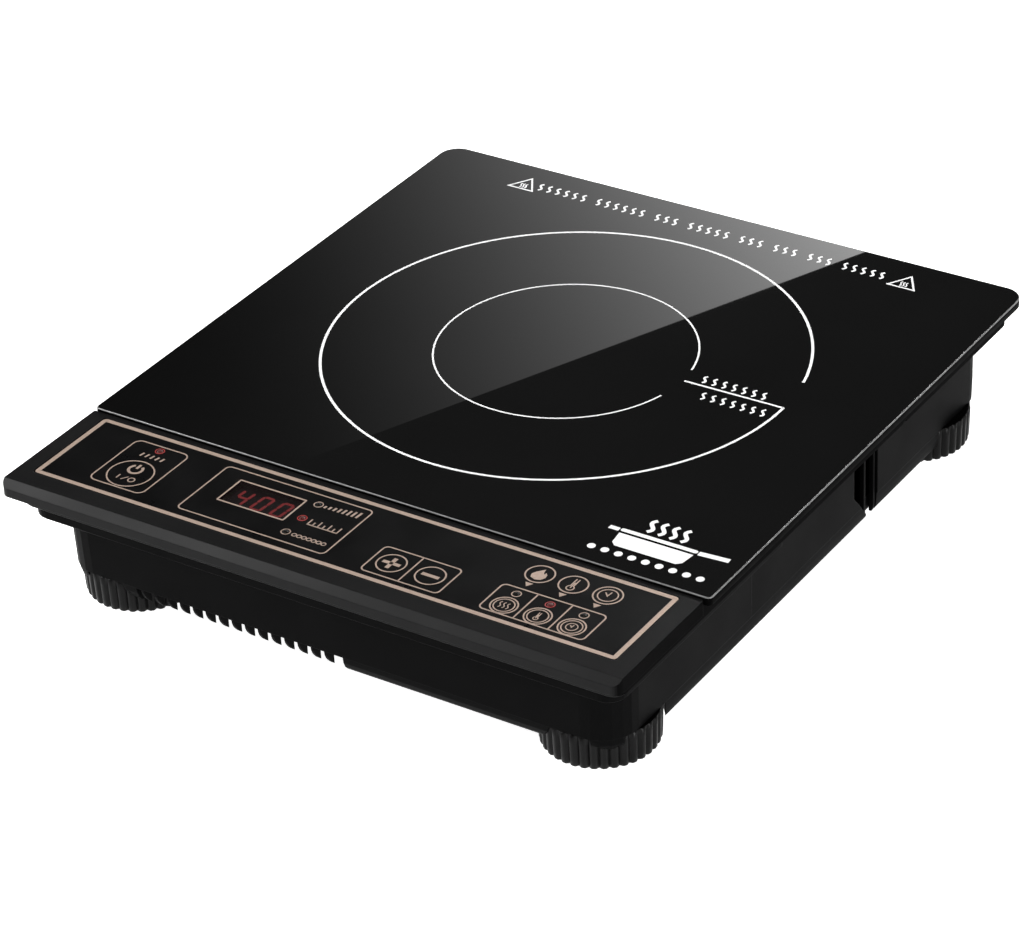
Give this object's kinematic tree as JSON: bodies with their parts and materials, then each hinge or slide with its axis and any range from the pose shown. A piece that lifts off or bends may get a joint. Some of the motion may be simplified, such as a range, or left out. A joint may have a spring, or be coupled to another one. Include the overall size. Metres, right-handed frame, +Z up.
{
  "type": "induction hob",
  "caption": "Portable single-zone induction hob: black glass cooking plate, sloped-edge front control panel with push keys, vented base tray on fluted feet.",
  "frame": {"origin": "on the surface the feet stand on, under the middle of the bounding box", "axes": "+Z up, the control panel faces -Y, +X to the user's right"},
  "size_m": [0.29, 0.327, 0.06],
  "materials": {
    "glass_ceramic": "polished black glass-ceramic plate with ground edges and white screen print",
    "frame_plastic": "fine-textured black ABS with a satin bevel",
    "base_plastic": "satin black moulded ABS",
    "panel_film": "textured dark film, printed in bronze",
    "foot_rubber": "fluted black rubber",
    "rubber": "black rubber",
    "silicone": "black silicone",
    "display_window": "dark red tinted acrylic",
    "indicator_red": "red light pipe, lit",
    "indicator_clear": "light pipe, unlit",
    "screw_steel": "zinc-plated steel",
    "circuit_board": "green solder mask",
    "component": "black moulded component body",
    "ribbon": "grey-white ribbon cable",
    "bakelite": "dark phenolic moulding",
    "copper_litz": "enamelled copper wire",
    "mica": "mica sheet",
    "fan_plastic": "black fan moulding",
    "heatsink_aluminium": "extruded aluminium",
    "capacitor_film": "yellow film capacitor case",
    "ferrite": "sintered ferrite",
    "ceramic_white": "white ceramic tube"
  },
  "bodies": {
    "casing": {"glass_plate": "glass_ceramic", "glass_seal": "silicone", "top_frame": "frame_plastic", "base_tray": "base_plastic", "cord_gland": "rubber", "foot_front_left": "foot_rubber", "foot_front_right": "foot_rubber", "foot_back_left": "foot_rubber", "foot_back_right": "foot_rubber", "case_screw_front_left": "screw_steel", "case_screw_front_right": "screw_steel", "case_screw_back_left": "screw_steel", "case_screw_back_right": "screw_steel", "panel_overlay": "panel_film", "display_window": "display_window", "switch_power": "component", "switch_plus": "component", "switch_minus": "component", "switch_heating": "component", "switch_temperature": "component", "switch_timer": "component", "indicator_power": "indicator_red", "indicator_mode_heating": "indicator_clear", "indicator_mode_temperature": "indicator_red", "indicator_mode_timer": "indicator_clear", "indicator_key_heating": "indicator_clear", "indicator_key_temperature": "indicator_red", "indicator_key_timer": "indicator_clear", "control_board": "circuit_board", "display_module": "component", "ribbon_cable": "ribbon", "coil_former": "bakelite", "coil_winding": "copper_litz", "ferrite_bar_1": "ferrite", "ferrite_bar_2": "ferrite", "ferrite_bar_3": "ferrite", "ferrite_bar_4": "ferrite", "ferrite_bar_5": "ferrite", "ferrite_bar_6": "ferrite", "mica_sheet": "mica", "thermistor": "silicone", "fan_frame": "fan_plastic", "main_board": "circuit_board", "heatsink": "heatsink_aluminium", "power_transistor": "component", "bridge_rectifier": "component", "resonant_capacitor": "capacitor_film", "filter_capacitor": "capacitor_film", "choke": "copper_litz", "transformer": "ferrite", "fuse": "ceramic_white", "buzzer": "component"},
    "key_power": {"key_power": "panel_film"},
    "key_plus": {"key_plus": "panel_film"},
    "key_minus": {"key_minus": "panel_film"},
    "key_heating": {"key_heating": "panel_film"},
    "key_temperature": {"key_temperature": "panel_film"},
    "key_timer": {"key_timer": "panel_film"},
    "fan_rotor": {"fan_rotor": "fan_plastic"}
  },
  "joints": [
    {"name": "press_power", "type": "slide", "parent": "casing", "child": "key_power", "axis": [0, 0, -1], "range_m": [0, 0.0004], "stiffness_N_per_m": 1200, "springref_m": -0.0004},
    {"name": "press_plus", "type": "slide", "parent": "casing", "child": "key_plus", "axis": [0, 0, -1], "range_m": [0, 0.0004], "stiffness_N_per_m": 1200, "springref_m": -0.0004},
    {"name": "press_minus", "type": "slide", "parent": "casing", "child": "key_minus", "axis": [0, 0, -1], "range_m": [0, 0.0004], "stiffness_N_per_m": 1200, "springref_m": -0.0004},
    {"name": "press_heating", "type": "slide", "parent": "casing", "child": "key_heating", "axis": [0, 0, -1], "range_m": [0, 0.0004], "stiffness_N_per_m": 1200, "springref_m": -0.0004},
    {"name": "press_temperature", "type": "slide", "parent": "casing", "child": "key_temperature", "axis": [0, 0, -1], "range_m": [0, 0.0004], "stiffness_N_per_m": 1200, "springref_m": -0.0004},
    {"name": "press_timer", "type": "slide", "parent": "casing", "child": "key_timer", "axis": [0, 0, -1], "range_m": [0, 0.0004], "stiffness_N_per_m": 1200, "springref_m": -0.0004},
    {"name": "fan_spin", "type": "hinge", "parent": "casing", "child": "fan_rotor", "pos_m": [0.068, 0.052, 0.02], "axis": [0, 0, 1], "continuous": true}
  ]
}
